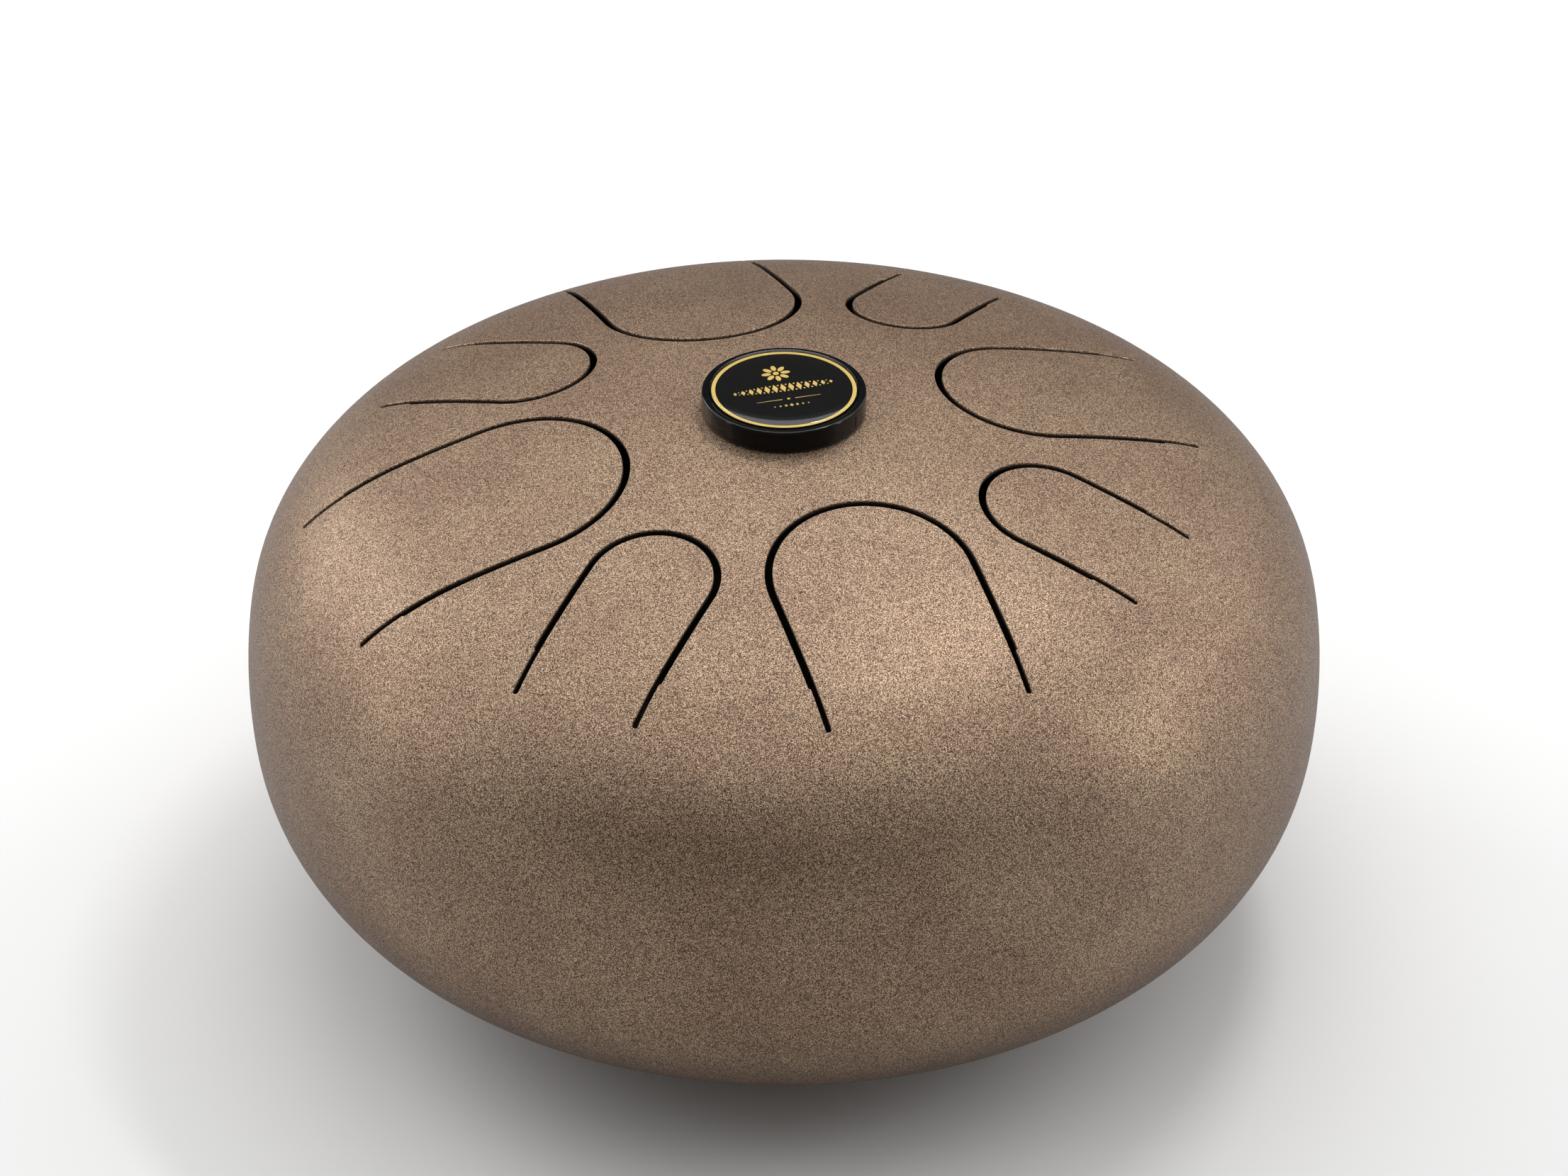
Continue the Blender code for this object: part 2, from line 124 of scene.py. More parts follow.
def drum_profile():
    """Arrays along the meridian from the pole: distance, radius, height, normal angle."""
    bends = []
    for radius, start, end in PROFILE:
        length = radius * math.radians(start - end)
        bends += [1.0 / radius] * round(length / PROFILE_STEP)
    reach = int(4 * PROFILE_BLEND / PROFILE_STEP)
    offsets = np.arange(-reach, reach + 1) * PROFILE_STEP
    kernel = np.exp(-0.5 * (offsets / PROFILE_BLEND) ** 2)
    padded = np.concatenate([[bends[0]] * reach, bends, [bends[-1]] * reach])
    bends = np.convolve(padded, kernel / kernel.sum(), "valid")
    angle = math.pi / 2 - np.concatenate([[0.0], np.cumsum(bends) * PROFILE_STEP])
    middle = (angle[1:] + angle[:-1]) / 2
    radius = np.concatenate([[0.0], np.cumsum(np.sin(middle)) * PROFILE_STEP])
    height = np.concatenate([[0.0], -np.cumsum(np.cos(middle)) * PROFILE_STEP])
    along = np.arange(len(angle)) * PROFILE_STEP
    equator = int(np.argmin(np.abs(angle)))
    radius *= DRUM_RADIUS / radius[equator]
    height -= height[equator]
    top = POLE_HEIGHT - EQUATOR
    bottom = EQUATOR - PORT_LEVEL
    height = np.where(height > 0, height * top / height[0], height * bottom / -height[-1])
    return along, radius, height + EQUATOR, angle, equator


ALONG, RADIUS, HEIGHT, ANGLE, AT_EQUATOR = drum_profile()


def along_at(radius):
    """Distance along the meridian at which the top half has a radius."""
    return np.interp(radius, RADIUS[: AT_EQUATOR + 1], ALONG[: AT_EQUATOR + 1])


def skin_point(along, turn, depth=0.0):
    """Point of the drum's outer face, or at a depth below it, and the outward normal."""
    angle = np.interp(along, ALONG, ANGLE)
    radius = np.interp(along, ALONG, RADIUS) - depth * np.cos(angle)
    height = np.interp(along, ALONG, HEIGHT) - depth * np.sin(angle)
    point = Vector((radius * math.cos(turn), radius * math.sin(turn), height))
    outward = math.cos(angle)
    return point, Vector((outward * math.cos(turn), outward * math.sin(turn), math.sin(angle)))


def sheet_thickness(along):
    """The sheet, thickened inside by the bead of the seam weld."""
    from_seam = (along - ALONG[AT_EQUATOR]) / BEAD_WIDTH
    return SHEET + BEAD_HEIGHT * math.exp(-(from_seam**2))


def unrolled(plan):
    """Plan point (x, y) to a flat map in which distances from the pole are true."""
    radius = math.hypot(*plan)
    scale = along_at(radius) / radius
    return plan[0] * scale, plan[1] * scale


# Slots ----------------------------------------------------------------------------------


def rounded_path(corners, radii, counts):
    """Points of a path with right-angled corners rounded, its runs cut into counts pieces."""
    points = [np.array(corners[0])]
    for number in range(1, len(corners)):
        corner = np.array(corners[number])
        run = corner - np.array(corners[number - 1])
        incoming = run / np.linalg.norm(run)
        rounding = radii[number]
        last = points[-1]
        target = corner - incoming * rounding
        for part in range(1, counts[number - 1] + 1):
            points.append(last + (target - last) * part / counts[number - 1])
        if rounding == 0.0:
            continue
        leaving = np.array(corners[number + 1]) - corner
        leaving = leaving / np.linalg.norm(leaving)
        centre = corner + (leaving - incoming) * rounding
        for part in range(1, FILLET_STEPS + 1):
            turn = math.pi / 2 * part / FILLET_STEPS
            swing = incoming * math.sin(turn) - leaving * math.cos(turn)
            points.append(centre + swing * rounding)
    return [tuple(point) for point in points]


class Slot:
    """A tongue's U-shaped slot, with its places read from the tongue's joint and CAD node."""

    def __init__(self, joint):
        self.name = joint["name"].removeprefix("tongue_").removesuffix("_flex")
        self.body = joint["child"]
        self.pivot = Vector(joint["pos_m"])
        outward = self.pivot.xy
        self.root = outward.length
        self.outward = outward / self.root
        self.sideways = Vector((-self.outward.y, self.outward.x))
        corners = [vertex.co.xy for vertex in frame["nodes"][f"tongue_{self.name}"].data.vertices]
        self.half = max(corner.dot(self.sideways) for corner in corners)
        tip = min(corner.dot(self.outward) for corner in corners)
        self.centre = tip + self.half
        self.step = self.root - TUNING_LENGTHS[self.name]
        self.seam = self.root - ROOT_INSET
        self.counts = (
            1,
            1,
            self.pieces(self.root - self.step),
            1,
            self.pieces(self.step - self.centre),
        )

    @staticmethod
    def pieces(length):
        return max(1, math.ceil(length / LEG_SPACING))

    def plan(self, point):
        return tuple(self.outward * point[0] + self.sideways * point[1])

    def rim(self, into_metal):
        """Closed loop of the slot's edge moved into the metal, and the index where the
        tongue's own edge starts."""
        inner = self.half - into_metal
        narrow = self.half + TUNING_WIDTH + into_metal
        wide = self.half + SLOT_WIDTH + into_metal
        end = self.root + into_metal
        step = self.step + into_metal
        corners = (
            (self.seam, inner),
            (end, inner),
            (end, narrow),
            (step, narrow),
            (step, wide),
            (self.centre, wide),
        )
        slot_end = SLOT_END_ROUNDING + into_metal
        radii = (0.0, slot_end, slot_end, STEP_CORNER - into_metal, STEP_ROUNDING + into_metal, 0.0)
        side = rounded_path(corners, radii, self.counts)
        turns = [math.pi * part / HEAD_STEPS for part in range(1, HEAD_STEPS)]
        loop = list(side)
        loop += [
            (self.centre - wide * math.sin(turn), wide * math.cos(turn)) for turn in turns
        ]
        loop += [(along, -across) for along, across in reversed(side)]
        tongue_start = len(loop) - 1
        count = self.pieces(self.seam - self.centre)
        leg = [self.seam + (self.centre - self.seam) * part / count for part in range(1, count + 1)]
        loop += [(along, -inner) for along in leg]
        loop += [
            (self.centre - inner * math.sin(turn), -inner * math.cos(turn)) for turn in turns
        ]
        loop += [(along, inner) for along in reversed(leg)]
        return [self.plan(point) for point in loop], tongue_start

    def root_line(self, into_metal):
        """Points across the root, between the ends of the tongue's edge."""
        inner = self.half - into_metal
        count = self.pieces(2 * inner)
        across = [inner - 2 * inner * part / count for part in range(1, count)]
        return [self.plan((self.seam, value)) for value in across]


def inside(polygon, points):
    """Which points lie inside a polygon, by counting crossings."""
    polygon = np.array(polygon)
    found = np.zeros(len(points), bool)
    for start, end in zip(polygon, np.roll(polygon, -1, axis=0)):
        spans = (start[1] > points[:, 1]) != (end[1] > points[:, 1])
        if start[1] == end[1]:
            continue
        share = (points[:, 1] - start[1]) / (end[1] - start[1])
        found ^= spans & (points[:, 0] < start[0] + share * (end[0] - start[0]))
    return found


# Skins ----------------------------------------------------------------------------------


COATED, INSIDE = 0, 1


class Skin:
    """A closed sheet metal piece: points made once per key, faces, and what each one is."""

    def __init__(self, name):
        self.name = name
        self.keys = {}
        self.points = []
        self.normals = []
        self.faces = []
        self.finishes = []
        self.flat = []

    def point(self, key, make):
        if key not in self.keys:
            place, normal = make()
            self.keys[key] = len(self.points)
            self.points.append(place)
            self.normals.append(normal)
        return self.keys[key]

    def face(self, corners, finish=COATED, flat=False):
        if len(set(corners)) < 3:
            return
        self.faces.append(corners)
        self.finishes.append(finish)
        self.flat.append(flat)

    def build(self, coated, inner_finish):
        mesh = bpy.data.meshes.new(self.name)
        mesh.from_pydata(self.points, [], self.faces)
        mesh.materials.append(coated)
        mesh.materials.append(inner_finish)
        shape = bmesh.new()
        shape.from_mesh(mesh)
        shape.faces.ensure_lookup_table()
        for face, finish in zip(shape.faces, self.finishes):
            face.material_index = finish
        bmesh.ops.recalc_face_normals(shape, faces=shape.faces)
        shape.to_mesh(mesh)
        shape.free()
        mesh.shade_smooth()
        normals = []
        for polygon in mesh.polygons:
            for corner in polygon.vertices:
                if self.flat[polygon.index]:
                    normals.append(polygon.normal.copy())
                else:
                    normals.append(self.normals[corner] or Vector((0.0, 0.0, 0.0)))
        mesh.normals_split_custom_set(normals)
        piece = bpy.data.objects.new(self.name, mesh)
        bpy.context.scene.collection.objects.link(piece)
        return piece


# How far the coating reaches down a slot's wall
COAT_REACH = 0.8 * MM
COATED_LEVELS = 3

# Steps down a slot's wall: offset into the metal, depth below the outer face
WALL_LEVELS = (
    (LIP * (1 - math.sin(math.pi / 4)), LIP * (1 - math.cos(math.pi / 4))),
    (0.0, LIP),
    (0.0, COAT_REACH),
    (0.0, SHEET - INNER_LIP),
    (INNER_LIP * (1 - math.sin(math.pi / 4)), SHEET - INNER_LIP * (1 - math.cos(math.pi / 4))),
)


def top_map(slots):
    """Flat triangulation of the top with every slot's rim and root line in it.

    Returns its points, its triangles, its border, and for each slot its rim, its root line and
    where the tongue starts in the rim.
    """
    points, edges, groups = [], [], []

    def add_run(plan_points, closed, ends=()):
        first = len(points)
        points.extend(unrolled(point) for point in plan_points)
        run = list(range(first, len(points)))
        chain = [*ends[:1], *run, *ends[1:]] if ends else run
        edges.extend(zip(chain, chain[1:]))
        if closed:
            edges.append((chain[-1], chain[0]))
        return run

    circle = []
    for number in range(AROUND):
        turn = 2 * math.pi * number / AROUND
        circle.append((SPLIT_RADIUS * math.cos(turn), SPLIT_RADIUS * math.sin(turn)))
    border = add_run(circle, True)
    for slot in slots:
        loop, tongue_start = slot.rim(LIP)
        rim = add_run(loop, True)
        across = add_run(slot.root_line(LIP), False, (rim[0], rim[tongue_start]))
        groups.append((rim, across, tongue_start))
    taken = KDTree(len(points))
    for number, point in enumerate(points):
        taken.insert((*point, 0.0), number)
    taken.balance()
    edge_along = float(along_at(SPLIT_RADIUS))
    rings = round(edge_along / SKIN_SPACING)
    points.append((0.0, 0.0))
    for ring in range(1, rings):
        reach = edge_along * ring / rings
        count = max(6, round(2 * math.pi * reach / SKIN_SPACING))
        for number in range(count):
            turn = 2 * math.pi * (number + ring % 2 / 2) / count
            place = (reach * math.cos(turn), reach * math.sin(turn))
            if taken.find((*place, 0.0))[2] > CLEAR_OF_SLOTS:
                points.append(place)
    solved = delaunay_2d_cdt([Vector(point) for point in points], edges, [], 0, 1e-9)
    places, _, triangles, origins = solved[:4]
    found = {}
    for number, sources in enumerate(origins):
        for source in sources:
            found[source] = number
    border = [found[number] for number in border]
    groups = [
        ([found[n] for n in rim], [found[n] for n in across], tongue_start)
        for rim, across, tongue_start in groups
    ]
    return np.array([tuple(place) for place in places]), triangles, border, groups


def sort_triangles(places, triangles, groups):
    """For each triangle its owner, -1 for the shell or a tongue's number, and if a slot takes it."""
    middles = places[np.array(triangles)].mean(axis=1)
    owners = np.full(len(triangles), -1)
    gone = np.zeros(len(triangles), bool)
    for number, (rim, across, tongue_start) in enumerate(groups):
        gone |= inside(places[rim], middles)
        tongue = places[rim[tongue_start:] + [rim[0]] + across]
        owners[inside(tongue, middles)] = number
    return owners, gone


def make_skins(slots, coated, inner_finish):
    """The drum's one-piece skin and its tongues, which meet it exactly along their roots."""
    places, triangles, border, groups = top_map(slots)
    owners, gone = sort_triangles(places, triangles, groups)
    reach = np.hypot(places[:, 0], places[:, 1])
    turns = np.arctan2(places[:, 1], places[:, 0])
    rims = [[slot.rim(offset)[0] for offset, _ in WALL_LEVELS] for slot in slots]
    inner_rims = [slot.rim(INNER_LIP)[0] for slot in slots]
    inner_places = {}
    for (rim, _, _), loop in zip(groups, inner_rims):
        inner_places.update(zip(rim, loop))

    def outer(number):
        return skin_point(reach[number], turns[number])

    def inner(number):
        along, turn = reach[number], turns[number]
        if number in inner_places:
            plan = inner_places[number]
            along, turn = float(along_at(math.hypot(*plan))), math.atan2(plan[1], plan[0])
        place, normal = skin_point(along, turn, SHEET)
        return place, -normal

    def wall(number, level, step):
        plan = rims[number][level][step]
        depth = WALL_LEVELS[level][1]
        along = float(along_at(math.hypot(*plan)))
        return skin_point(along, math.atan2(plan[1], plan[0]), depth)[0], None

    skins = [Skin(f"tongue_{slot.name}_plate") for slot in slots] + [Skin("drum_skin")]
    for triangle, owner, in_slot in zip(triangles, owners, gone):
        if in_slot:
            continue
        skin = skins[owner]
        skin.face([skin.point(("out", n), lambda n=n: outer(n)) for n in triangle])
        below = [skin.point(("in", n), lambda n=n: inner(n)) for n in reversed(triangle)]
        skin.face(below, INSIDE)

    def column(skin, number, step):
        """Points down the slot's wall, from the outer face to the inner one."""
        rim = groups[number][0]
        made = [skin.point(("out", rim[step]), lambda: outer(rim[step]))]
        for level in range(len(WALL_LEVELS)):
            key = ("wall", number, level, step)
            made.append(skin.point(key, lambda level=level: wall(number, level, step)))
        made.append(skin.point(("in", rim[step]), lambda: inner(rim[step])))
        return made

    for number, (rim, across, tongue_start) in enumerate(groups):
        count = len(rim)
        for step in range(count):
            skin = skins[number] if step >= tongue_start else skins[-1]
            left = column(skin, number, step)
            right = column(skin, number, (step + 1) % count)
            for level in range(len(left) - 1):
                corners = [left[level], right[level], right[level + 1], left[level + 1]]
                skin.face(corners, COATED if level < COATED_LEVELS else INSIDE)
        for skin in (skins[number], skins[-1]):
            line = [rim[0]] + across + [rim[tongue_start]]
            tops = [skin.point(("out", n), lambda n=n: outer(n)) for n in line]
            lows = [skin.point(("in", n), lambda n=n: inner(n)) for n in line]
            for step in range(len(line) - 1):
                skin.face([tops[step], tops[step + 1], lows[step + 1], lows[step]], flat=True)
            skin.face(column(skin, number, 0), flat=True)
            skin.face(column(skin, number, tongue_start), flat=True)

    shell_below(skins[-1], border, outer, inner)
    return [skin.build(coated, inner_finish) for skin in skins]


def shell_below(skin, border, outer, inner):
    """Rings of the shell from the edge of the top's map down to the sound port."""
    start = float(along_at(SPLIT_RADIUS))
    length = ALONG[-1] - start
    rings = round(length / SKIN_SPACING)

    def ring_points(ring):
        if ring == 0:
            above = [skin.point(("out", n), lambda n=n: outer(n)) for n in border]
            below = [skin.point(("in", n), lambda n=n: inner(n)) for n in border]
            return above, below
        along = start + length * ring / rings
        thickness = sheet_thickness(along)
        above, below = [], []
        for number in range(AROUND):
            turn = 2 * math.pi * number / AROUND
            place, normal = skin_point(along, turn)
            under, _ = skin_point(along, turn, thickness)
            above.append(skin.point(("ring", ring, number), lambda p=place, n=normal: (p, n)))
            below.append(skin.point(("under", ring, number), lambda p=under, n=normal: (p, -n)))
        return above, below

    above, below = ring_points(0)
    for ring in range(1, rings + 1):
        next_above, next_below = ring_points(ring)
        for number in range(AROUND):
            after = (number + 1) % AROUND
            skin.face([above[number], next_above[number], next_above[after], above[after]])
            corners = [below[number], below[after], next_below[after], next_below[number]]
            skin.face(corners, INSIDE)
        above, below = next_above, next_below
    for number in range(AROUND):
        after = (number + 1) % AROUND
        skin.face([above[number], below[number], below[after], above[after]], flat=True)


# Turned pieces --------------------------------------------------------------------------


def softened(section, roundings, steps=4):
    """Closed section with its corners rounded; the roundings may be zero."""
    made = []
    for number, (corner, rounding) in enumerate(zip(section, roundings)):
        corner = Vector(corner)
        if rounding == 0.0:
            made.append(tuple(corner))
            continue
        before = Vector(section[number - 1]) - corner
        after = Vector(section[(number + 1) % len(section)]) - corner
        reach = rounding / math.tan(before.angle(after) / 2)
        cut = min(reach, before.length * 0.49, after.length * 0.49)
        start = corner + before.normalized() * cut
        end = corner + after.normalized() * cut
        for step in range(steps + 1):
            share = step / steps
            bent = start * (1 - share) ** 2 + corner * 2 * share * (1 - share) + end * share**2
            made.append(tuple(bent))
    return made


def even_turns(count):
    return [2 * math.pi * number / count for number in range(count)]


def turned(name, section, turns, finish, place=None, adjust=None):
    """Piece made by turning a closed section (radius, height) about the Z axis.

    A radius may be a function of the turn. adjust moves a finished point.
    """
    shape = bmesh.new()
    rings = []
    for radius, height in section:
        if not callable(radius) and radius <= 1e-7:
            rings.append([shape.verts.new((0.0, 0.0, height))] * len(turns))
            continue
        ring = []
        for turn in turns:
            reach = radius(turn) if callable(radius) else radius
            point = Vector((reach * math.cos(turn), reach * math.sin(turn), height))
            ring.append(shape.verts.new(adjust(point) if adjust else point))
        rings.append(ring)
    for ring, following in zip(rings, rings[1:] + rings[:1]):
        for number in range(len(turns)):
            after = (number + 1) % len(turns)
            corners = [ring[number], ring[after], following[after], following[number]]
            kept = list(dict.fromkeys(corners))
            if len(kept) > 2:
                shape.faces.new(kept)
    return finished(name, shape, finish, place)


def finished(name, shape, finish, place=None, smooth_angle=32.0):
    bmesh.ops.recalc_face_normals(shape, faces=shape.faces)
    if place is not None:
        bmesh.ops.transform(shape, matrix=place, verts=shape.verts)
    mesh = bpy.data.meshes.new(name)
    shape.to_mesh(mesh)
    shape.free()
    mesh.shade_smooth()
    mesh.set_sharp_from_angle(angle=math.radians(smooth_angle))
    mesh.materials.append(finish)
    piece = bpy.data.objects.new(name, mesh)
    bpy.context.scene.collection.objects.link(piece)
    return piece


# Badge ----------------------------------------------------------------------------------

BADGE_SIDES = 128
BADGE_SEAT = Matrix.Translation((0.0, 0.0, POLE_HEIGHT))
BADGE_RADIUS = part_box("badge_housing")[1].x
PAD_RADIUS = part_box("badge_pad")[1].x
LEDGE_RADIUS = 27.2 * MM
LABEL_RADIUS = LEDGE_RADIUS - GAP
POCKET_RADIUS = 10.4 * MM
PAD_CLEAR_OF_POCKET = 0.8 * MM
MAGNET_PROUD = 0.1 * MM
SKIRT_LEVEL = -0.6 * MM
DOME_RISE = 1.2 * MM
DOME_STEPS = 32

# Mark that the mould's gate leaves on the housing's side
GATE_MARK_SIZE = (0.5 * MM, 0.5 * MM, 4.6 * MM)
GATE_MARK_LEVEL = 3.6 * MM
GATE_MARK_TURN = -30.0

# Gold print
PRINT_THICKNESS = 0.06 * MM
PRINT_TURN = 15.0
RING_RADII = (25.0 * MM, 26.4 * MM)
ROSETTE = (0.0, 11.6 * MM)
ROSETTE_EYE = 1.1 * MM
PETALS = 8
PETAL_REACH = 3.6 * MM
PETAL_SIZE = (0.95 * MM, 1.75 * MM)
BAND_LEVEL = 1.2 * MM
BAND_PITCH = 3.0 * MM
BAND_STEPS = 6
BAND_SIZE = (1.1 * MM, 2.9 * MM)
BAND_DOT = 0.38 * MM
BAND_DOT_LEVEL = 2.1 * MM
BAR_LEVEL = -6.6 * MM
BEAD_LEVEL = BAR_LEVEL - 4.4 * MM


def ellipse(middle, across, along, turn=0.0, count=28):
    """Outline with half axes across and along, turned about its middle."""
    points = []
    for number in range(count):
        angle = 2 * math.pi * number / count
        x, y = across * math.cos(angle), along * math.sin(angle)
        points.append((
            middle[0] + x * math.cos(turn) - y * math.sin(turn),
            middle[1] + x * math.sin(turn) + y * math.cos(turn),
        ))
    return points


def lozenge(middle, across, along):
    """Outline with half diagonals across and along."""
    x, y = middle
    return [(x + across, y), (x, y + along), (x - across, y), (x, y - along)]


def printed_shapes():
    """Outlines of the badge's ornament: a rosette, a band of lozenges, two bars and beads."""
    shapes = [ellipse(ROSETTE, ROSETTE_EYE, ROSETTE_EYE)]
    for number in range(PETALS):
        turn = 2 * math.pi * number / PETALS
        middle = (
            ROSETTE[0] - PETAL_REACH * math.sin(turn),
            ROSETTE[1] + PETAL_REACH * math.cos(turn),
        )
        shapes.append(ellipse(middle, *PETAL_SIZE, turn))
    for step in range(-BAND_STEPS, BAND_STEPS + 1):
        fade = 1 - (step / (BAND_STEPS + 1.5)) ** 2
        x = step * BAND_PITCH
        shapes.append(lozenge((x, BAND_LEVEL), BAND_SIZE[0] * fade**0.5, BAND_SIZE[1] * fade))
        if step < BAND_STEPS:
            size = BAND_DOT * fade**0.5
            for side in (-1, 1):
                level = BAND_LEVEL + side * BAND_DOT_LEVEL * fade
                shapes.append(ellipse((x + BAND_PITCH / 2, level), size, size, count=16))
    for side in (-1, 1):
        near, far = side * 2.4 * MM, side * 12.0 * MM
        bar = [(near, -0.17 * MM), (far, -0.07 * MM), (far, 0.07 * MM), (near, 0.17 * MM)]
        shapes.append([(x, BAR_LEVEL + y) for x, y in bar])
    shapes.append(ellipse((0.0, BAR_LEVEL), 0.55 * MM, 0.55 * MM))
    for step in range(-3, 4):
        size = (0.95 - 0.18 * abs(step)) * MM
        shapes.append(lozenge((step * 2.1 * MM, BEAD_LEVEL), size * 0.75, size))
    return shapes


def levels(node):
    """Lowest and highest level of a CAD node, measured from the drum's pole."""
    return [corner.z - POLE_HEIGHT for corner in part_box(node)]


def pocket_mouth():
    """Level of the housing's underside, around the pocket that holds the magnet."""
    return levels("badge_magnet")[0] - MAGNET_PROUD


def badge_housing():
    """Puck with a tray for the label on top and a pocket for the magnet underneath."""
    ceiling = levels("badge_magnet")[1] + GAP
    high = levels("badge_housing")[1]
    floor = levels("badge_label")[0] - GAP
    under = pocket_mouth()
    section = (
        (0.0, ceiling),
        (POCKET_RADIUS, ceiling),
        (POCKET_RADIUS, under),
        (PAD_RADIUS + GAP, under),
        (PAD_RADIUS + GAP, SKIRT_LEVEL + 0.3 * MM),
        (BADGE_RADIUS - 0.5 * MM, SKIRT_LEVEL),
        (BADGE_RADIUS, SKIRT_LEVEL + 1.0 * MM),
        (BADGE_RADIUS, high),
        (BADGE_RADIUS - 1.6 * MM, high),
        (LEDGE_RADIUS, high - 0.20 * MM),
        (LEDGE_RADIUS, floor),
        (0.0, floor),
    )
    roundings = [v * MM for v in (0, 0.3, 0.4, 0.3, 0.3, 0.5, 0.6, 0.9, 0.5, 0.25, 0.2, 0)]
    rounded = softened(section, roundings, 6)
    housing = turned("badge_puck", rounded, even_turns(BADGE_SIDES), gloss_black(), BADGE_SEAT)
    ride(housing, "badge", "badge_plastic", "badge_housing")


def gate_mark():
    shape = bmesh.new()
    bmesh.ops.create_cube(shape, size=1.0)
    bmesh.ops.scale(shape, vec=GATE_MARK_SIZE, verts=shape.verts)
    bmesh.ops.bevel(shape, geom=shape.edges[:], offset=0.12 * MM, segments=2, affect="EDGES")
    turn = Matrix.Rotation(math.radians(GATE_MARK_TURN), 4, "Z")
    place = Matrix.Translation((BADGE_RADIUS - 0.1 * MM, 0.0, GATE_MARK_LEVEL))
    mark = finished("badge_gate_mark", shape, gloss_black(), BADGE_SEAT @ turn @ place)
    ride(mark, "badge", "badge_plastic")


def plain_disc(name, node, radius, rounding, sides, finish):
    """Disc of a radius between the levels of a CAD node, with its rims rounded."""
    low, high = levels(node)
    section = ((0.0, low), (radius, low), (radius, high), (0.0, high))
    rounded = softened(section, (0.0, rounding, rounding, 0.0))
    return turned(name, rounded, even_turns(sides), finish, BADGE_SEAT)


def badge_label():
    """Black label, the gold ring near its edge and the gold ornament on it."""
    label = plain_disc("badge_disc", "badge_label", LABEL_RADIUS, 0.15 * MM, 96, label_black())
    ride(label, "badge", "badge_print", "badge_label")
    gold = gold_print()
    face = levels("badge_label")[1]
    top = face + PRINT_THICKNESS
    near, far = RING_RADII
    section = ((near, face), (far, face), (far, top), (near, top))
    ring = turned("badge_ring", section, even_turns(BADGE_SIDES), gold, BADGE_SEAT)
    ride(ring, "badge", "badge_print")
    shape = bmesh.new()
    for outline in printed_shapes():
        lower = [shape.verts.new((*point, face)) for point in outline]
        upper = [shape.verts.new((*point, top)) for point in outline]
        shape.faces.new(lower)
        shape.faces.new(upper)
        for number in range(len(outline)):
            after = (number + 1) % len(outline)
            shape.faces.new((lower[number], lower[after], upper[after], upper[number]))
    facing = BADGE_SEAT @ Matrix.Rotation(math.radians(PRINT_TURN), 4, "Z")
    ride(finished("badge_ornament", shape, gold, facing), "badge", "badge_print")


def resin_dome():
    """Clear cap over the label: flat in the middle and rounded down to its edge."""
    low, high = levels("badge_dome")
    section = [(0.0, low), (LABEL_RADIUS, low)]
    for number in range(DOME_STEPS + 1):
        part = math.sin(math.pi / 2 * (1 - number / DOME_STEPS))
        section.append((LABEL_RADIUS * part, high - DOME_RISE + DOME_RISE * (1 - part**5) ** 0.6))
    sides = even_turns(BADGE_SIDES)
    resin = turned("badge_resin_dome", section, sides, clear_resin(), BADGE_SEAT)
    ride(resin, "badge", "badge_resin", "badge_dome")


def magnet_disc():
    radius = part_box("badge_magnet")[1].x
    finish = nickel_plate()
    magnet = plain_disc("badge_magnet_disc", "badge_magnet", radius, 0.35 * MM, 64, finish)
    ride(magnet, "badge", "magnet", "badge_magnet")


def felt_pad():
    """Ring of felt whose lower face follows the drum's crown."""
    crown_radius = PROFILE[0][0]
    near = POCKET_RADIUS + PAD_CLEAR_OF_POCKET
    radii = [near + (PAD_RADIUS - near) * number / 6 for number in range(7)]
    section = [
        (radius, GAP - crown_radius + math.sqrt(crown_radius**2 - radius**2))
        for radius in radii
    ]
    high = pocket_mouth() - GAP
    section += [(PAD_RADIUS, high), (near, high)]
    pad = turned("badge_felt", section, even_turns(96), black_felt(), BADGE_SEAT)
    ride(pad, "badge", "pad", "badge_pad")


def badge():
    badge_housing()
    gate_mark()
    badge_label()
    resin_dome()
    magnet_disc()
    felt_pad()


# Feet and sound port --------------------------------------------------------------------

FEET = 4
FOOT_CIRCLE = 100.0 * MM

# The sole's parts of a foot's section are given as heights from this mark, at the floor
SOLE = 1.0

SCREW_RADIUS = 1.97 * MM
THREAD_ROOT_RADIUS = 1.75 * MM
THREAD_PITCH = 0.55 * MM
THREADS = 12
SCREW_END = -7.0 * MM
HEAD_RADIUS = 4.0 * MM
HEAD_LOW = 5.8 * MM
HEAD_HEIGHT = 2.6 * MM
RECESS_ARM = 2.1 * MM
RECESS_HALF_WIDTH = 0.42 * MM
WASHER_THICKNESS = 0.8 * MM
WASHER_RADII = (2.4 * MM, 4.5 * MM)
NUT_FLAT = 3.5 * MM
NUT_HEIGHT = 3.2 * MM
NUT_CHAMFER = 30.0


def seat_frame(turn):
    """Frame on the shell's outer face at a foot, local Z along the outward normal."""
    radii = RADIUS[AT_EQUATOR:]
    along = float(np.interp(-FOOT_CIRCLE, -radii, ALONG[AT_EQUATOR:]))
    place, normal = skin_point(along, turn)
    sideways = Vector((-math.sin(turn), math.cos(turn), 0.0))
    frame_axes = Matrix((sideways.cross(normal), sideways, normal)).transposed().to_4x4()
    return Matrix.Translation(place) @ frame_axes


def cross_recess(arm, half_width):
    """Radius of a cross-shaped outline at each turn."""

    def reach(turn):
        turn = (turn + math.pi / 4) % (math.pi / 2) - math.pi / 4
        if abs(turn) <= math.atan2(half_width, arm) + 1e-9:
            return arm / math.cos(turn)
        return half_width / math.sin(abs(turn))

    return reach


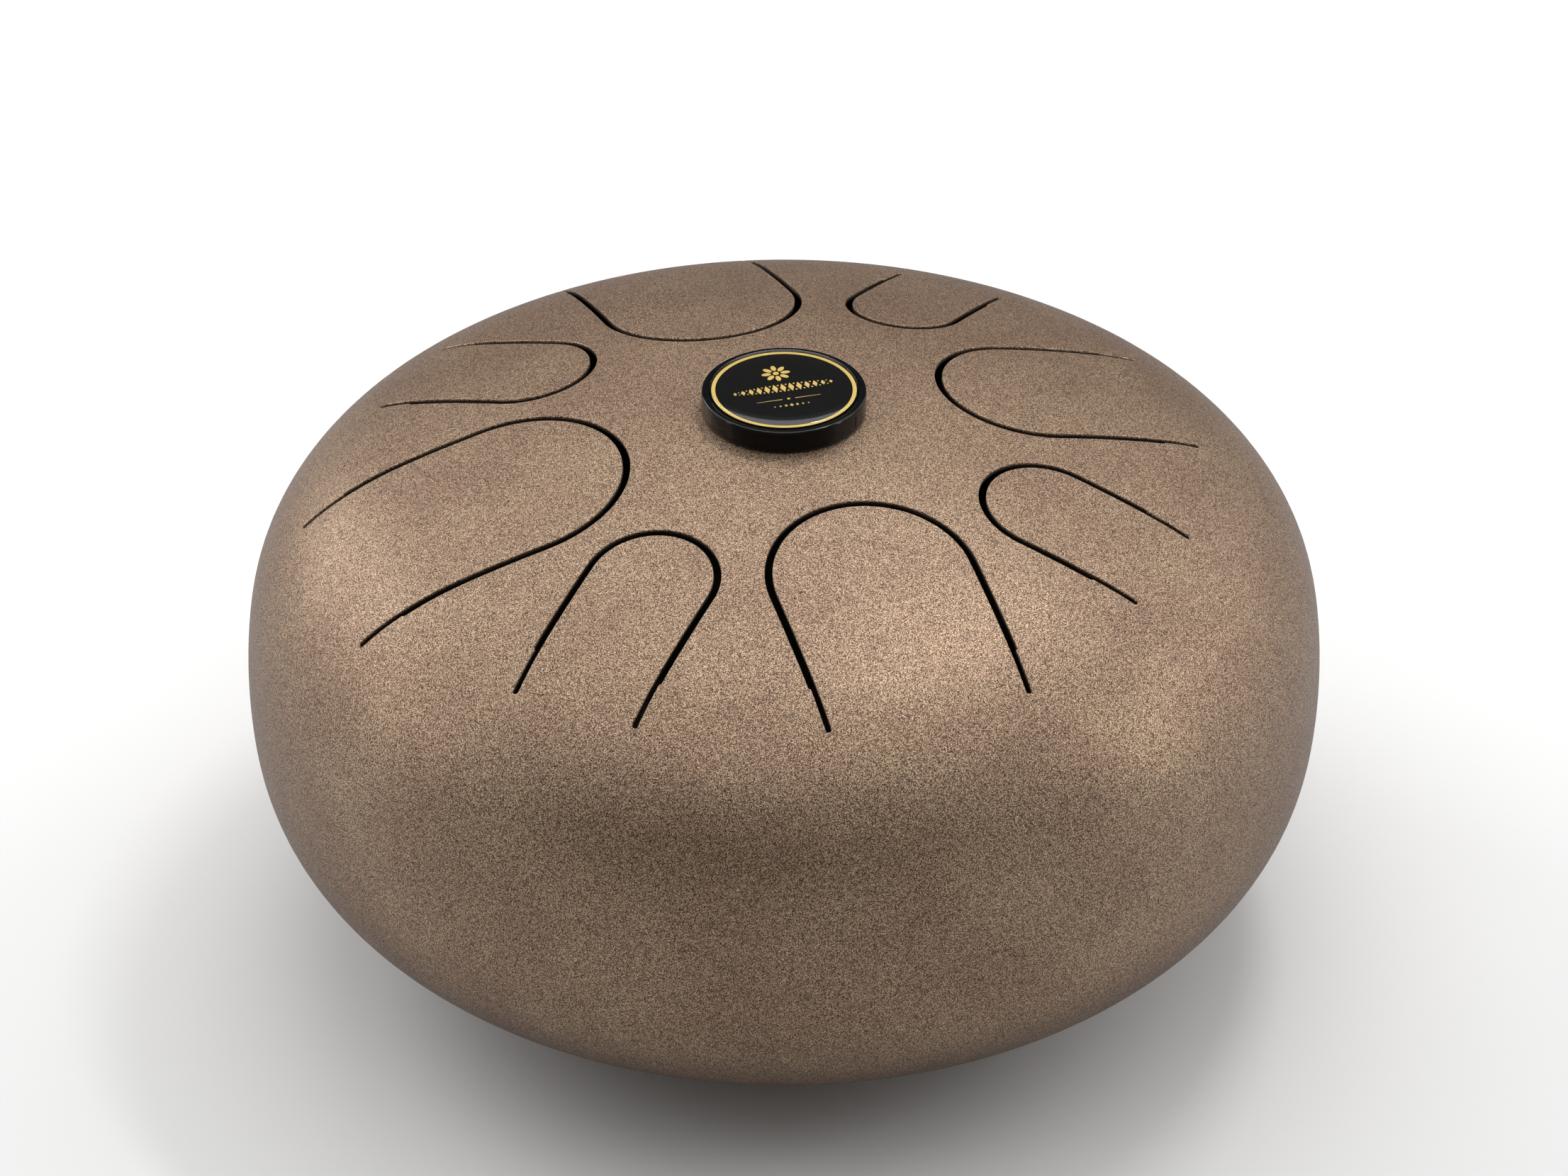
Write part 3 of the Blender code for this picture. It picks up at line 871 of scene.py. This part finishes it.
def hexagon(flat):
    """Radius of a hexagon at each turn, from the distance of its flats."""

    def reach(turn):
        turn = turn % (math.pi / 3) - math.pi / 6
        return flat / math.cos(turn)

    return reach


def rubber_foot(number, seat, rubber):
    """Round foot: a flange against the shell, a groove, and a level sole with a tread groove."""
    tilt = -seat.to_3x3().col[2].z
    section = (
        (2.4 * MM, 0.0),
        (12.5 * MM, 0.0),
        (12.5 * MM, 2.0 * MM),
        (11.7 * MM, 2.5 * MM),
        (11.7 * MM, 3.2 * MM),
        (12.1 * MM, 3.6 * MM),
        (10.6 * MM, SOLE),
        (8.3 * MM, SOLE),
        (7.9 * MM, SOLE - 0.5 * MM),
        (7.5 * MM, SOLE - 0.5 * MM),
        (7.1 * MM, SOLE),
        (5.5 * MM, SOLE),
        (5.5 * MM, 5.5 * MM),
        (2.4 * MM, 5.5 * MM),
    )
    roundings = (0, 0.3, 0.6, 0.3, 0.3, 0.5, 1.3, 0.15, 0.1, 0.1, 0.15, 0.5, 0.4, 0)
    rounded = softened(section, [value * MM for value in roundings], 5)

    def settle(point):
        """Lays the top on the shell's curve and the sole on the floor."""
        across = math.hypot(point.x, point.y)
        if point.z < 1.0 * MM:
            point.z += GAP - across**2 / (2 * PROFILE[-1][0])
        elif point.z > SOLE / 2:
            slope = seat.to_3x3() @ Vector((point.x, point.y, 0.0))
            point.z = (seat.translation.z + slope.z) / tilt - (SOLE - point.z)
        return point

    body = turned(f"rubber_foot_{number}", rounded, even_turns(64), rubber, seat, settle)
    ride(body, "drum", "rubber", f"foot_{number}")


def pan_screw(number, seat, zinc):
    """Screw with ridged threads and a cross recess in its rounded head."""
    corner = math.degrees(math.atan2(RECESS_HALF_WIDTH, RECESS_ARM))
    turns = {7.5 * step for step in range(48)}
    turns |= {(90.0 * arm + side * corner) % 360 for arm in range(4) for side in (-1, 1)}
    turns = [math.radians(turn) for turn in sorted(turns)]
    section = [(0.0, SCREW_END), (1.5 * MM, SCREW_END)]
    for step in range(THREADS):
        level = SCREW_END + 0.4 * MM + step * THREAD_PITCH
        section += [(SCREW_RADIUS, level), (THREAD_ROOT_RADIUS, level + THREAD_PITCH / 2)]
    top = HEAD_LOW + HEAD_HEIGHT
    section += [
        (SCREW_RADIUS, HEAD_LOW),
        (HEAD_RADIUS, HEAD_LOW),
        (HEAD_RADIUS, HEAD_LOW + 1.2 * MM),
        (3.85 * MM, HEAD_LOW + 1.75 * MM),
        (3.45 * MM, HEAD_LOW + 2.2 * MM),
        (2.9 * MM, top - 0.12 * MM),
        (cross_recess(RECESS_ARM, RECESS_HALF_WIDTH), top),
        (cross_recess(RECESS_ARM * 0.7, RECESS_HALF_WIDTH * 0.7), top - 1.3 * MM),
        (0.0, top - 1.6 * MM),
    ]
    screw = turned(f"pan_screw_{number}", section, turns, zinc, seat)
    ride(screw, "drum", "fastener", f"foot_screw_{number}")


def flat_washer(number, seat, zinc):
    low = -(SHEET + GAP + WASHER_THICKNESS)
    near, far = WASHER_RADII
    section = ((near, low), (far, low), (far, low + WASHER_THICKNESS), (near, low + WASHER_THICKNESS))
    rounded = softened(section, [0.15 * MM] * 4, 3)
    washer = turned(f"flat_washer_{number}", rounded, even_turns(48), zinc, seat)
    ride(washer, "drum", "fastener", f"foot_washer_{number}")


def hex_nut(number, seat, zinc):
    """Nut with a countersunk hole and its corners chamfered on both faces."""
    near = -(SHEET + WASHER_THICKNESS + 2 * GAP)
    far = near - NUT_HEIGHT
    turns = even_turns(72)
    slope = math.tan(math.radians(NUT_CHAMFER))
    face = NUT_FLAT * 0.97
    side = hexagon(NUT_FLAT)
    hole, sink = 2.3 * MM, 2.65 * MM
    rings = (
        (lambda turn: hole, lambda turn: near - 0.35 * MM),
        (lambda turn: sink, lambda turn: near),
        (lambda turn: face, lambda turn: near),
        (side, lambda turn: near - (side(turn) - face) * slope),
        (side, lambda turn: far + (side(turn) - face) * slope),
        (lambda turn: face, lambda turn: far),
        (lambda turn: sink, lambda turn: far),
        (lambda turn: hole, lambda turn: far + 0.35 * MM),
    )
    shape = bmesh.new()
    made = []
    for reach, height in rings:
        made.append([
            shape.verts.new((reach(turn) * math.cos(turn), reach(turn) * math.sin(turn), height(turn)))
            for turn in turns
        ])
    for lower, upper in zip(made, made[1:] + made[:1]):
        for step in range(len(turns)):
            after = (step + 1) % len(turns)
            shape.faces.new((lower[step], lower[after], upper[after], upper[step]))
    nut = finished(f"hex_nut_{number}", shape, zinc, seat, 20.0)
    ride(nut, "drum", "fastener", f"foot_nut_{number}")


def foot(number, rubber, zinc):
    seat = seat_frame(2 * math.pi * (number - 0.5) / FEET)
    rubber_foot(number, seat, rubber)
    pan_screw(number, seat, zinc)
    flat_washer(number, seat, zinc)
    hex_nut(number, seat, zinc)


def port_edging(rubber):
    """Rubber channel on the port's edge, open towards the sheet."""
    lip, bore, bottom = PORT_RADIUS + 6.5 * MM, PORT_RADIUS - 1.9 * MM, PORT_RADIUS - GAP

    def beside(radius, offset):
        """Section point at an offset outward from the drum's outer face."""
        shown = max(radius, PORT_RADIUS)
        along = float(np.interp(-shown, -RADIUS[AT_EQUATOR:], ALONG[AT_EQUATOR:]))
        angle = float(np.interp(along, ALONG, ANGLE))
        height = float(np.interp(along, ALONG, HEIGHT)) - (radius - shown) * math.cos(angle)
        return radius + offset * math.cos(angle), height + offset * math.sin(angle)

    under, over, wall = GAP, -(SHEET + GAP), 1.6 * MM
    middle = (lip + bore) / 2
    section = [
        beside(lip, under),
        beside(lip, under + wall),
        beside(middle, under + wall),
        beside(bore, under + wall),
        beside(bore, over - wall),
        beside(middle, over - wall),
        beside(lip, over - wall),
        beside(lip, over),
        beside(middle, over),
        beside(bottom, over),
        beside(bottom, under),
        beside(middle, under),
    ]
    roundings = [v * MM for v in (0.3, 0.9, 0, 1.7, 1.7, 0, 0.9, 0.3, 0, 0.4, 0.4, 0)]
    rounded = softened(section, roundings, 6)
    edging = turned("port_channel", rounded, even_turns(128), rubber)
    ride(edging, "drum", "rubber", "port_edging")


# Materials ------------------------------------------------------------------------------


class Finish:
    """Builds a node material: helpers that add a node and link its inputs."""

    def __init__(self, name):
        self.material = bpy.data.materials.new(name)
        self.material.use_nodes = True
        self.tree = self.material.node_tree
        self.shader = self.tree.nodes["Principled BSDF"]

    def add(self, kind, links=None, **settings):
        node = self.tree.nodes.new(kind)
        for key, value in settings.items():
            setattr(node, key, value)
        for socket, source in (links or {}).items():
            self.set(node, socket, source)
        return node

    def set(self, node, socket, source):
        if hasattr(source, "links"):
            self.tree.links.new(source, node.inputs[socket])
        else:
            node.inputs[socket].default_value = source

    def shade(self, **inputs):
        for socket, source in inputs.items():
            self.set(self.shader, socket.replace("_", " "), source)
        return self.material

    def place(self):
        return self.add("ShaderNodeTexCoord").outputs["Object"]

    def noise(self, scale, detail=2.0, roughness=0.5):
        links = {"Vector": self.place(), "Scale": scale, "Detail": detail, "Roughness": roughness}
        return self.add("ShaderNodeTexNoise", links).outputs["Fac"]

    def cells(self, scale):
        links = {"Vector": self.place(), "Scale": scale}
        return self.add("ShaderNodeTexVoronoi", links).outputs["Color"]

    def channel(self, colour, name):
        return self.add("ShaderNodeSeparateColor", {"Color": colour}).outputs[name]

    def ramp(self, value, stops):
        node = self.add("ShaderNodeValToRGB", {"Fac": value})
        elements = node.color_ramp.elements
        while len(elements) < len(stops):
            elements.new(0.5)
        for element, (position, colour) in zip(elements, stops):
            element.position = position
            element.color = (*colour, 1.0)
        return node.outputs["Color"]

    def mix(self, share, first, second, blend="MIX"):
        node = self.add("ShaderNodeMix", data_type="RGBA", blend_type=blend)
        self.set(node, 0, share)
        self.set(node, 6, first)
        self.set(node, 7, second)
        return node.outputs[2]

    def span(self, value, low, high):
        links = {"Value": value, "To Min": low, "To Max": high}
        return self.add("ShaderNodeMapRange", links).outputs["Result"]

    def bump(self, value, strength, distance):
        links = {"Height": value, "Strength": strength, "Distance": distance}
        return self.add("ShaderNodeBump", links).outputs["Normal"]


def powder_coat():
    """Fine bronze speckle with bright flecks, with painted shade that darkens it where it is seen at a
    glancing angle.
    """
    finish = Finish("bronze_powder_coat")
    grain = finish.channel(finish.cells(5600.0), "Red")
    fleck = finish.channel(finish.cells(4600.0), "Green")
    cloud = finish.noise(26.0, 3.0, 0.55)
    base = finish.ramp(
        grain,
        (
            (0.0, (0.005, 0.003, 0.002)),
            (0.38, (0.060, 0.037, 0.024)),
            (0.72, (0.185, 0.122, 0.081)),
            (1.0, (0.70, 0.52, 0.365)),
        ),
    )
    flecks = finish.ramp(fleck, ((0.82, (0.0, 0.0, 0.0)), (0.94, (1.0, 1.0, 1.0))))
    base = finish.mix(flecks, base, (0.62, 0.46, 0.325, 1.0))
    tint = finish.ramp(cloud, ((0.35, (0.93, 0.87, 0.85)), (0.65, (1.07, 1.05, 1.01))))
    base = finish.mix(1.0, base, tint, "MULTIPLY")
    # Painted shade: the base colour is darkened and reddened where the surface is seen at a glancing
    # angle
    facing = finish.add("ShaderNodeLayerWeight", {"Blend": 0.5}).outputs["Facing"]
    glancing_shade = finish.ramp(facing, ((0.50, (1.0, 1.0, 1.0)), (0.97, (0.42, 0.36, 0.32))))
    base = finish.mix(1.0, base, glancing_shade, "MULTIPLY")
    rough = finish.span(grain, 0.58, 0.38)
    height = finish.add("ShaderNodeMath", {0: finish.noise(1500.0, 2.0), 1: grain}, operation="ADD")
    bump = finish.bump(height.outputs[0], 0.45, 0.00008)
    return finish.shade(
        Base_Color=base,
        Roughness=rough,
        Metallic=0.45,
        Normal=bump,
        Specular_IOR_Level=0.2,
    )


def inside_steel():
    finish = Finish("inside_steel")
    cloud = finish.noise(60.0, 4.0)
    base = finish.ramp(cloud, ((0.3, (0.045, 0.036, 0.030)), (0.7, (0.085, 0.070, 0.058))))
    rough = finish.span(cloud, 0.45, 0.65)
    bump = finish.bump(finish.noise(800.0, 2.0), 0.2, 0.0001)
    return finish.shade(Base_Color=base, Roughness=rough, Metallic=0.7, Normal=bump)


def black_rubber():
    finish = Finish("black_rubber")
    fine = finish.noise(2600.0, 3.0, 0.65)
    base = finish.ramp(fine, ((0.3, (0.012, 0.012, 0.013)), (0.75, (0.032, 0.031, 0.031))))
    bump = finish.bump(fine, 0.4, 0.00008)
    rough = finish.span(finish.noise(140.0), 0.62, 0.82)
    return finish.shade(Base_Color=base, Roughness=rough, Normal=bump, Specular_IOR_Level=0.35)


def zinc_plate():
    finish = Finish("zinc_plate")
    fine = finish.noise(1500.0, 3.0)
    base = finish.ramp(fine, ((0.3, (0.50, 0.50, 0.49)), (0.7, (0.68, 0.68, 0.66))))
    rough = finish.span(finish.noise(400.0), 0.24, 0.42)
    return finish.shade(
        Base_Color=base,
        Metallic=1.0,
        Roughness=rough,
        Normal=finish.bump(fine, 0.15, 0.00004),
    )


def nickel_plate():
    finish = Finish("nickel_plate")
    fine = finish.noise(700.0, 2.0)
    base = finish.ramp(fine, ((0.3, (0.62, 0.59, 0.52)), (0.7, (0.74, 0.71, 0.64))))
    return finish.shade(Base_Color=base, Metallic=1.0, Roughness=finish.span(fine, 0.14, 0.26))


def gloss_black():
    finish = Finish("gloss_black_plastic")
    cloud = finish.noise(420.0, 3.0)
    base = finish.ramp(cloud, ((0.3, (0.0018, 0.0018, 0.002)), (0.7, (0.004, 0.004, 0.0045))))
    rough = finish.span(cloud, 0.07, 0.14)
    bump = finish.bump(finish.noise(1400.0, 2.0), 0.04, 0.00003)
    return finish.shade(Base_Color=base, Roughness=rough, Normal=bump, Specular_IOR_Level=0.22)


def label_black():
    finish = Finish("label_black")
    fine = finish.noise(1900.0, 2.0)
    base = finish.ramp(fine, ((0.3, (0.0012, 0.0011, 0.0011)), (0.7, (0.003, 0.0027, 0.0026))))
    rough = finish.span(fine, 0.35, 0.5)
    return finish.shade(Base_Color=base, Roughness=rough, Specular_IOR_Level=0.02)


def gold_print():
    finish = Finish("gold_print")
    fine = finish.noise(5200.0, 3.0)
    base = finish.ramp(fine, ((0.3, (0.66, 0.46, 0.10)), (0.7, (0.90, 0.67, 0.22))))
    return finish.shade(Base_Color=base, Metallic=0.6, Roughness=finish.span(fine, 0.30, 0.45))


def clear_resin():
    """A clear film: light passes straight through, and it mirrors more at a glancing angle."""
    finish = Finish("clear_resin")
    wave = finish.bump(finish.noise(60.0, 1.0), 0.02, 0.0001)
    finish.shade(
        Base_Color=(1.0, 1.0, 1.0, 1.0),
        Metallic=1.0,
        Roughness=finish.span(finish.noise(60.0, 2.0), 0.008, 0.016),
        Normal=wave,
    )
    clear = finish.add("ShaderNodeBsdfTransparent")
    facing = finish.add("ShaderNodeLayerWeight", {"Blend": 0.5}).outputs["Facing"]
    steep = finish.add("ShaderNodeMath", {0: facing, 1: 5.0}, operation="POWER").outputs[0]
    share = finish.span(steep, 0.03, 0.8)
    film = finish.add("ShaderNodeMixShader")
    finish.set(film, 0, share)
    finish.set(film, 1, clear.outputs[0])
    finish.set(film, 2, finish.shader.outputs[0])
    output = finish.tree.nodes["Material Output"]
    finish.set(output, "Surface", film.outputs[0])
    return finish.material


def black_felt():
    finish = Finish("black_felt")
    fibre = finish.noise(3000.0, 4.0, 0.7)
    base = finish.ramp(fibre, ((0.3, (0.010, 0.010, 0.011)), (0.8, (0.05, 0.05, 0.052))))
    return finish.shade(Base_Color=base, Roughness=0.95, Normal=finish.bump(fibre, 0.8, 0.0002))


# Studio ---------------------------------------------------------------------------------


# Sky brightness at and below SKY_START, and overhead; SKY_START is the sine of the elevation
SKY_START = 0.62
WORLD_LEVELS = (0.09, 1.9)

# Lamps that face the drum's middle: name, place, size, power
LAMPS = (
    ("back_box", (0.0, 1.1, 1.9), (1.8, 0.8), 12.0),
    ("left_strip", (-1.4, -0.3, 0.6), (0.07, 0.9), 4.0),
    ("right_strip", (1.4, -0.3, 0.6), (0.07, 0.9), 5.5),
    ("left_side", (-1.5, 0.2, 0.9), (0.6, 0.9), 5.5),
    ("right_side", (1.5, 0.2, 0.9), (0.6, 0.9), 7.0),
    ("left_back", (-1.2, 0.9, 0.9), (0.7, 0.9), 12.0),
    ("right_back", (1.2, 0.9, 0.9), (0.7, 0.9), 4.0),
    ("streak", (0.55, 0.6, 1.9), (0.5, 0.10), 9.0),
)
FLOOR_REACH = 6.0
FLOOR_LEVEL = -0.5 * MM


def area_light(name, place, aim, size, power):
    lamp = bpy.data.lights.new(name, "AREA")
    lamp.shape = "RECTANGLE"
    lamp.size, lamp.size_y = size
    lamp.energy = power
    holder = bpy.data.objects.new(name, lamp)
    holder.location = place
    holder.rotation_mode = "QUATERNION"
    holder.rotation_quaternion = (Vector(aim) - Vector(place)).to_track_quat("-Z", "Y")
    bpy.context.scene.collection.objects.link(holder)


def studio():
    scene = bpy.context.scene
    scene.view_settings.view_transform = "Standard"
    world = bpy.data.worlds.new("studio")
    world.use_nodes = True
    nodes, links = world.node_tree.nodes, world.node_tree.links
    place = nodes.new("ShaderNodeTexCoord")
    parts = nodes.new("ShaderNodeSeparateXYZ")
    fall = nodes.new("ShaderNodeMapRange")
    fall.inputs["From Min"].default_value = SKY_START
    fall.inputs["To Min"].default_value = WORLD_LEVELS[0]
    fall.inputs["To Max"].default_value = WORLD_LEVELS[1]
    links.new(place.outputs["Generated"], parts.inputs[0])
    links.new(parts.outputs["Z"], fall.inputs["Value"])
    links.new(fall.outputs["Result"], nodes["Background"].inputs["Strength"])
    nodes["Background"].inputs["Color"].default_value = (1.0, 1.0, 1.0, 1.0)
    scene.world = world
    middle = (0.0, 0.0, EQUATOR)
    for name, place, size, power in LAMPS:
        area_light(name, place, middle, size, power)

    shape = bmesh.new()
    bmesh.ops.create_grid(shape, x_segments=1, y_segments=1, size=FLOOR_REACH)
    finish = Finish("pale_floor")
    tone = finish.ramp(finish.noise(3.0), ((0.3, (0.60, 0.60, 0.60)), (0.7, (0.62, 0.62, 0.62))))
    floor = finished("floor", shape, finish.shade(Base_Color=tone, Roughness=0.9))
    floor.location.z = FLOOR_LEVEL


# Camera, from a fit of the outline and the slots to the photograph
CAMERA_BACK = 1.6485
CAMERA_RISE = 1.1218
CAMERA_TILT = 33.52
CAMERA_LENS = 122.0


def camera():
    lens = bpy.data.cameras.new("camera")
    lens.lens = CAMERA_LENS
    lens.sensor_width = 36.0
    lens.clip_end = 50.0
    holder = bpy.data.objects.new("camera", lens)
    holder.location = (0.0, -CAMERA_BACK, EQUATOR + CAMERA_RISE)
    holder.rotation_euler = (math.radians(90.0 - CAMERA_TILT), 0.0, 0.0)
    bpy.context.scene.collection.objects.link(holder)
    bpy.context.scene.camera = holder


# Assembly -------------------------------------------------------------------------------


def ride(piece, body, slot_name, *nodes):
    """Fixes a piece to a body and hides the CAD nodes that it stands for; slot_name is not used."""
    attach(piece, body)
    if nodes:
        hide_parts(*nodes)


def plan_to_skin(plan):
    """Point of the drum's outer face above a plan point."""
    return skin_point(float(along_at(math.hypot(*plan))), math.atan2(plan[1], plan[0]))[0]


def drum():
    """The skin, and the tongues, which meet it along their roots."""
    coated, raw = powder_coat(), inside_steel()
    slots = [Slot(joint) for joint in frame["joints"] if joint["type"] == "hinge"]
    *plates, skin = make_skins(slots, coated, raw)
    ride(skin, "drum", "powder_coat", "top_shell", "bottom_shell", "seam_weld")
    for slot, plate in zip(slots, plates):
        start = plan_to_skin(slot.plan((slot.seam, 0.0)))
        end = plan_to_skin(slot.plan((slot.root * 0.5 + slot.centre * 0.5, 0.0)))
        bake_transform(plate)
        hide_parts(f"tongue_{slot.name}")


drum()
badge()
rubber, zinc = black_rubber(), zinc_plate()
for foot_number in range(1, FEET + 1):
    foot(foot_number, rubber, zinc)
port_edging(rubber)
studio()
camera()

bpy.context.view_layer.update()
